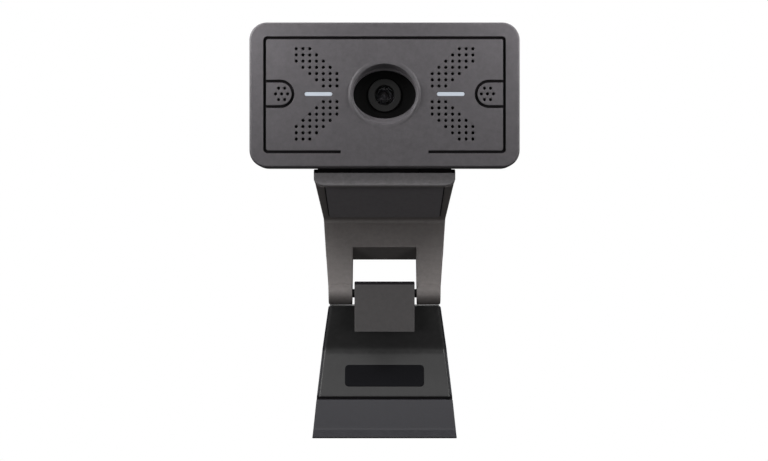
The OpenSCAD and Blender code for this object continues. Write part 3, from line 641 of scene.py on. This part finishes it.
def retainer_rings():
    """Two thin black rings behind the front glass that show as faint circles in the lens."""
    s = Shell()
    for r, y in ((2.9, 1.75), (1.75, 2.3)):
        y += BARREL_Y
        back = y + 0.2
        revolve(s, [(r + 0.6, back), (r + 0.6, y), (r, y), (r - 0.12, back), (r + 0.6, back)],
                64, 0, ROW)
    return s.finish("lens_retainer_rings", "head", retainer_black, (), in_head, 30)


def light_guide(side, node):
    """A clear bar with half-round ends that fills its slot and stops just short of the face."""
    s = Shell()
    top, end = wall(s, slot(side * LIGHT_X, ROW, *GUIDE), GUIDE_SET, GUIDE_D, GUIDE_EDGE)
    s.fill([top], lambda p: at_depth(p, GUIDE_SET))
    s.fill([end], lambda p: at_depth(p, GUIDE_D), flip=True)
    return s.finish(node + "_bar", "head", lit_white, node, in_head, 42)


light_guide(-1, "left_light_guide")
light_guide(1, "right_light_guide")
hood()
barrel()
retainer_rings()
lens("front_lens_glass", "front_lens", BARREL_Y + 0.75, 3.5, 0.45, 0.45, lens_glass)


# ---------- clip arm ----------

LEAN = np.radians(30)
WALL_FACE, THROAT, LIP_T, LIP_DROP, LIP_R = 3.9, 28.0, 2.2, 2.75, 3.5
RISE, PLATE_TOP, CORNER_TOP, ARM_BACK = 28.85, 31.25, 34.15, 6.2
WINDOW_TOP, WINDOW_W = 17.4, 23.7
LIP_OUT = -WALL_FACE - THROAT - LIP_T
LIP_HALF, BEND_HALF, FOOT_HALF = 25.5, 22.8, 20.6
KNUCKLE, WALL_TOP = 4.2, RISE - 0.6
EAR_IN, EAR_OUT, EAR_R = 12.8, 24.4, 4.3


def in_arm(points):
    """From the arm's own frame (x, along the plate, square to it) to the shared one: a lean."""
    x, u, v = points.T
    y, z = u * np.cos(LEAN) + v * np.sin(LEAN), v * np.cos(LEAN) - u * np.sin(LEAN)
    return np.stack([x, y, z], 1) + FOLD


def in_leg(points):
    """From the leg's own frame, whose origin is the folding hinge, to the shared one."""
    return points + FOLD


def wall_half(v):
    """Half the width of the arm's wall, growing from the hinge up to the plate."""
    return np.interp(v, [0, WALL_TOP], [FOOT_HALF, BEND_HALF])


def level(value):
    """A flat end for a prism, at one x."""
    return lambda a, b: np.full(np.shape(a), value)


def arm_half(u, v):
    """Half the arm's width: widest at the lip, narrowing to the wall and down to the hinge,
    with the lip's lower corners round."""
    plan = np.interp(u, [LIP_OUT, -WALL_FACE], [LIP_HALF, BEND_HALF])
    taper = wall_half(v)
    low_corner = RISE - LIP_DROP + LIP_R
    drop = np.clip((low_corner - v) / LIP_R, 0, 1)
    lip = LIP_HALF - LIP_R * (1 - np.sqrt(1 - drop ** 2))
    on_lip = u < LIP_OUT + LIP_T + 0.3
    body = np.where(v < WALL_TOP, np.minimum(plan, taper), plan)
    return np.where(on_lip, np.minimum(plan, lip), body)


def arm_shell():
    """The arm: lip, rest plate, bend and wall as one side profile, then two rails with knuckles
    and two ears for the tilt pin. The lip's front has painted light, the ears painted shade."""
    s = Shell()
    top = rounded([
        (LIP_OUT, RISE - LIP_DROP, 0.45), (LIP_OUT + LIP_T, RISE - LIP_DROP, 0.5),
        (LIP_OUT + LIP_T, RISE, 0.5), (-WALL_FACE, RISE, 1.2), (-WALL_FACE, WINDOW_TOP, 0.35),
        (ARM_BACK, WINDOW_TOP, 0.5), (ARM_BACK, CORNER_TOP - 3, 2.5),
        (ARM_BACK - 3, CORNER_TOP, 2.5),
        (-12, CORNER_TOP, 2), (-16.5, PLATE_TOP, 2), (LIP_OUT, PLATE_TOP, 0.35),
    ])
    top = dense(top, 0.7)
    crease = [(-WALL_FACE, v) for v in np.linspace(RISE + 0.9, CORNER_TOP - 0.9, 5)]
    prism(s, top, lambda u, v: -arm_half(u, v), arm_half, 0.3, 0.3, 3, crease)
    start = np.degrees(np.arctan2(1.65, -WALL_FACE))
    rail = np.concatenate([
        [(ARM_BACK - 0.02, WINDOW_TOP + 2.2), (-WALL_FACE + 0.02, WINDOW_TOP + 2.2)],
        dense(np.array([(-WALL_FACE + 0.02, WINDOW_TOP), (-WALL_FACE + 0.02, 1.9)]), 1.5)[:12],
        arc(0, 0, KNUCKLE, start, 360, 26), [(4.1, 4.2), (ARM_BACK - 0.02, WINDOW_TOP)],
    ])
    inner = WINDOW_W / 2

    prism(s, rail, level(inner), lambda u, v: wall_half(v), 0.3, 0.6, 4)
    prism(s, rail, lambda u, v: -wall_half(v), level(-inner), 0.6, 0.3, 4)
    tilt = TILT - FOLD
    tu = tilt[1] * np.cos(LEAN) - tilt[2] * np.sin(LEAN)
    tv = tilt[1] * np.sin(LEAN) + tilt[2] * np.cos(LEAN)
    foot = PLATE_TOP - 0.8
    ear = np.concatenate([[(tu - 4.2, foot), (tu + 4.2, foot)], arc(tu, tv, EAR_R, 0, 180, 24)])
    for a, b in ((EAR_IN, EAR_OUT), (-EAR_OUT, -EAR_IN)):
        prism(s, ear, level(a), level(b), 0.4, 0.4, 3)
    tones = [clip_plastic, lip_painted_light, painted_shade_black]
    arm = s.finish("arm_shell_moulding", "clip_arm", tones, "arm_shell", in_arm, 42)
    x, y, z = (centres(arm) - FOLD).T
    u, v = y * np.cos(LEAN) - z * np.sin(LEAN), y * np.sin(LEAN) + z * np.cos(LEAN)
    near_pin = np.hypot(u - tu, v - tv) < 5.4
    # 1: painted light on the lip's front; 2: painted shade on the ears above the plate
    chosen = np.where(u < LIP_OUT + LIP_T / 2, 1, np.where(near_pin & (v > PLATE_TOP + 0.02), 2, 0))
    paint(arm, chosen)


arm_shell()
finished_copy("arm_back_cover", "arm_back_lid", "clip_arm", clip_plastic, 0.2)


def under_plate(p):
    """Puts a front-view drawing on the rest plate's underside, narrowing towards the wall."""
    mid = -WALL_FACE - THROAT / 2 - 1.25
    narrow = np.interp(p[:, 2], [-12.2, 12.2], [1.018, 0.968])
    return in_arm(np.stack([p[:, 0] * narrow, p[:, 2] + mid, p[:, 1] + RISE - 0.5], 1))


def rest_pad():
    """The rubber pad under the rest plate, a thin slab with a rounded edge, and a near-black bed
    round it as painted shade at the pad's edge.
    """
    for name, w, h, r, y, thick, edge, material in (
            ("rest_pad_rubber", 42.4, 24.3, 0.9, 0.0, 1.0, 0.15, rest_rubber),
            # the bed's near-black rim round the pad is painted shade
            ("rest_pad_shade_bed", 43.3, 24.9, 1.2, 0.44, 0.4, 0.0, painted_shade_black)):
        s = Shell()
        top, end = wall(s, round_rect(w, h, r, 6), y, y + thick, edge)
        s.fill([top], lambda p: at_depth(p, y))
        s.fill([end], lambda p: at_depth(p, y + thick), flip=True)
        own = "rest_pad" if y == 0 else ()
        s.finish(name, "clip_arm", material, own, under_plate, 42)


rest_pad()


def tilt_shade_bushes():
    """Near-black bushes round the tilt pin, as painted shade under the head: two fill the gaps
    beside the barrel, two cap the ears.
    """
    s = Shell()
    for a, b, r in ((11.95, 12.75, 3.9), (24.35, 25.9, 2.15)):
        for low_x, high_x in ((a, b), (-b, -a)):
            e = 0.2
            section = [(0, low_x), (r - e, low_x), (r, low_x + e),
                       (r, high_x - e), (r - e, high_x), (0, high_x)]
            revolve(s, section, 40)
            s.points[-1] = s.points[-1][:, [1, 0, 2]] + TILT
    return s.finish("tilt_shade_bushes", "clip_arm", painted_shade_black, (), None, 30, False)


tilt_shade_bushes()

# ---------- leg ----------

LEG_TOP, LEG_LIP = -4.75, 0.4
BEND, STEP = (7, -21.5), (1.6, -38.4)
TOE_BEND, TOE_TIP, TOE_BACK = (-2.2, -50), (-4.3, -53.2), (-1.8, -53.2)
TONGUE_HALF, TONGUE_END = 11.05, -13.95
COVER_T, COVER_EDGE = 1.8, 1.05


def leg_half(y, z):
    """Half the leg's width, growing down its length."""
    return np.interp(-z, [4.75, 21.5, 38.4, 53.5], [20.75, 23.3, 25.15, 26.6])


def leg_shell():
    """The leg's rear moulding: its front is sunk under the cover, then runs out as the toe. The
    tongue has its own grey, and its top and the step above the toe carry painted shade in
    near-black."""
    s = Shell()
    body = rounded([
        (LEG_LIP + 1.3, LEG_TOP - 0.25, 0.35), (BEND[0] + 1.0, BEND[1] - 0.2, 3.5),
        (STEP[0] + 1.05, STEP[1] + 0.6, 0),
        (STEP[0] + 1.2, STEP[1] - 0.95, 0), (STEP[0] - 0.32, STEP[1] - 1.0, 0.35), (*TOE_BEND, 4),
        (*TOE_TIP, 0.5), (*TOE_BACK, 0.6), (*RIDGE, 3), (RIDGE[0] - 1.2, RIDGE[1] + 5, 4),
        (5.2, LEG_TOP, 1.0),
    ])
    body = dense(body, 1.2)
    prism(s, body, lambda y, z: -leg_half(y, z), leg_half, 0.3, 0.3, 3)
    tongue = np.concatenate([
        [(-4.2, TONGUE_END), (6.0, TONGUE_END), (4.9, LEG_TOP)], arc(0, 0, 4.35, 0, 90, 10),
        arc(-3.2, 3.35, 1.0, 90, 180, 6),
    ])
    prism(s, tongue, level(-TONGUE_HALF), level(TONGUE_HALF), 0.3, 0.3, 3)
    tones = [toe_plastic, tongue_plastic, painted_shade_black]
    leg = s.finish("leg_shell_moulding", "leg", tones, "leg_shell", in_leg, 42)
    x, y, z = (centres(leg) - FOLD).T
    tongue_face = (z > -14.1) & (abs(x) < 11.3) & ((z > LEG_TOP + 0.1) | (y < 0))
    # painted shade: the tongue's top and the step above the toe take the near-black material
    tongue_top_shade = (z > 2.9) & tongue_face
    step = (z < STEP[1] + 0.9) & (z > STEP[1] - 1.02) & (y < STEP[0] + 1.3)
    paint(leg, np.where(tongue_top_shade | step, 2, np.where(tongue_face, 1, 0)))


low, high = (np.array(c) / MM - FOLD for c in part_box("leg_shell"))
RIDGE = (high[1] - 0.02, -23.5)


def leg_cover():
    """The leg's front cover: a flat section with round front edges, carried down the bent face.
    At the path's two ends the section shrinks along a quarter circle, which rounds those edges."""
    s = Shell()
    corners = rounded([(LEG_LIP, LEG_TOP, 0), (*BEND, 4.5), (*STEP, 0)], 12)
    run = np.concatenate([[0], np.cumsum(np.linalg.norm(np.diff(corners, axis=0), axis=1))])
    end = np.array([0, 0.03, 0.11, 0.3])
    at = np.concatenate([end, np.linspace(1, run[-1] - 1, 44), run[-1] - end[::-1]])
    shrink = np.zeros(len(at))
    shrink[:4], shrink[-4:] = end[::-1], end
    y, z = (np.interp(at, run, corners[:, k]) for k in (0, 1))
    ahead = np.stack([np.gradient(y, at), np.gradient(z, at)], 1)
    ahead /= np.linalg.norm(ahead, axis=1, keepdims=True)
    back = np.stack([-ahead[:, 1], ahead[:, 0]], 1)
    front_edge = np.array(quarter(COVER_EDGE, 6))
    side = np.concatenate([front_edge, [(0, COVER_T - 0.2), (0.2, COVER_T)]])
    sign = np.repeat([1, -1], len(side))[:, None]
    inward, depth = np.concatenate([side, side[::-1]]).T[:, :, None]
    half = leg_half(y, z) - 0.55
    x = sign * (half - np.maximum(inward, shrink))
    depth = np.clip(depth, shrink, COVER_T - shrink)
    ring = np.stack([x, y + depth * back[:, 0], z + depth * back[:, 1]], 2).transpose(1, 0, 2)
    s.stack(ring)
    fan = np.arange(1, ring.shape[1] - 1)
    for last in (ring[0], ring[-1]):
        s.add(last, np.stack([0 * fan, fan, fan + 1], 1))
    return s.finish("leg_front_plate", "leg", leg_plastic, "leg_front_cover", in_leg, 42)


def leg_pad():
    """The rubber pad on the leg: a rounded slab set square to the lower plate."""
    s = Shell()
    outline = round_rect(29.4, 8.2, 1.4, 8)
    top, end = wall(s, outline, 0, 1.0, 0.2)
    s.fill([top], lambda p: at_depth(p, 0))
    s.fill([end], lambda p: at_depth(p, 1.0), flip=True)
    b, e = np.array(BEND), np.array(STEP)
    mid = b + (e - b) * 0.552
    along = (b - e) / np.linalg.norm(b - e)
    out = np.array([-along[1], along[0]])

    def place(p):
        yz = mid + out * 0.25 + p[:, 2:3] * along - p[:, 1:2] * out
        return in_leg(np.stack([p[:, 0], yz[:, 0], yz[:, 1]], 1))
    return s.finish("leg_pad_rubber", "leg", pad_rubber, "leg_pad", place, 42)


leg_shell()
leg_cover()
leg_pad()

# ---------- finishes of the nodes that keep their own shape ----------

FINISHES = {
    black_plastic: ["lens_mount", "hinge_washers"],
    pin_steel: ["leg_pin"],
    lens_dark: ["inner_lens"],
    filter_glass: ["ir_filter"],
    sensor_blue: ["image_sensor"],
    board_green: ["camera_board", "main_board"],
    socket_steel: ["shield_can", "usb_socket", "tilt_pin", "friction_sleeve"],
    screw_steel: ["cover_screws", "board_screws", "arm_screws", "leg_screws"],
    insert_brass: ["tripod_insert"],
    led_white: ["left_led_board", "right_led_board"],
    cloth_black: ["left_grille_cloth", "right_grille_cloth"],
    cone_black: ["left_speaker_cone", "right_speaker_cone"],
    pad_rubber: ["left_speaker_gasket", "right_speaker_gasket", "left_mic_boot", "right_mic_boot"],
    chip_black: ["image_processor", "board_connector", "usb_contact_tongue",
                 "left_speaker_basket", "right_speaker_basket"],
    # the microphones behind the sound holes take the same near-black
    painted_shade_black: ["left_microphone", "right_microphone"],
}
for material, nodes in FINISHES.items():
    for node in nodes:
        mesh = frame["nodes"][node].data
        mesh.materials.clear()
        mesh.materials.append(material)

# ---------- light, floor ----------

def softbox(name, place, aim, width, height, watts):
    """A rectangular area light that points at a place. The near ones leave no highlight."""
    data = bpy.data.lights.new(name, "AREA")
    data.shape = "RECTANGLE"
    data.size, data.size_y = width, height
    data.energy = watts
    lamp = bpy.data.objects.new(name, data)
    lamp.visible_camera = False
    lamp.visible_glossy = not name.startswith("near")
    lamp.location = place
    lamp.rotation_euler = (Vector(aim) - Vector(place)).to_track_quat("-Z", "Y").to_euler()
    bpy.context.scene.collection.objects.link(lamp)


SOFTBOXES = {
    "front_left": ((-0.8, -0.9, 0.02), (0, 0, 0.01), 0.4, 0.35, 3.3),
    "front_right": ((0.8, -0.9, 0.02), (0, 0, 0.01), 0.4, 0.35, 3.3),
    "high": ((-0.1, -0.8, 0.62), (0, 0, -0.05), 1.1, 0.5, 1.9),
    "near_left": ((-0.105, -0.06, 0.105), (-0.03, -0.02, 0.05), 0.06, 0.06, 0.46),
    "near_right": ((0.105, -0.06, 0.105), (0.03, -0.02, 0.05), 0.06, 0.06, 0.36),
    "side_left": ((-0.5, -0.2, 0.17), (0, 0, 0.03), 0.2, 0.2, 0.75),
    "side_right": ((0.5, -0.2, 0.17), (0, 0, 0.03), 0.2, 0.2, 0.4),
    "low": ((0, -0.9, -0.14), (0, 0, 0), 1.2, 0.12, 0.25),
    "top": ((0, 0.1, 0.9), (0, 0, 0), 0.9, 0.7, 0.8),
    "back": ((0.3, 0.9, 0.5), (0, 0, 0), 0.9, 0.6, 6.0),
}
for name, setting in SOFTBOXES.items():
    softbox(name, *setting)

world = bpy.data.worlds.new("studio")
bpy.context.scene.world = world
world.use_nodes = True
tree = world.node_tree
background = tree.nodes["Background"]
background.inputs["Color"].default_value = (1, 1, 1, 1)
coords = tree.nodes.new("ShaderNodeTexCoord")
split = tree.nodes.new("ShaderNodeSeparateXYZ")
tree.links.new(coords.outputs["Generated"], split.inputs[0])
ramp = tree.nodes.new("ShaderNodeMapRange")
ramp.inputs["From Min"].default_value = -0.35
ramp.inputs["From Max"].default_value = 0.6
ramp.inputs["To Min"].default_value = 0.055
ramp.inputs["To Max"].default_value = 0.09
tree.links.new(split.outputs["Z"], ramp.inputs["Value"])
rays = tree.nodes.new("ShaderNodeLightPath")
choose = tree.nodes.new("ShaderNodeMix")
tree.links.new(rays.outputs["Is Camera Ray"], choose.inputs["Factor"])
tree.links.new(ramp.outputs["Result"], choose.inputs["A"])
choose.inputs["B"].default_value = 1.0
tree.links.new(choose.outputs["Result"], background.inputs["Strength"])

FLOOR_Z, FLOOR_R = -0.21, 0.62
ground = Shell()
ground.fill([disc(0, 0, FLOOR_R / MM, 96)],
            lambda p: np.stack([p[:, 0], p[:, 1], np.full(len(p), FLOOR_Z / MM)], 1))
mesh = bpy.data.meshes.new("floor")
mesh.from_pydata(ground.points[0] * MM, [], ground.faces[0].tolist())
mesh.materials.append(shader("pale_floor", (0.86, 0.86, 0.86), 0.7))
floor = bpy.data.objects.new("floor", mesh)
bpy.context.scene.collection.objects.link(floor)
floor.visible_diffuse = False
floor.visible_glossy = False

bpy.context.scene.view_settings.view_transform = "Standard"
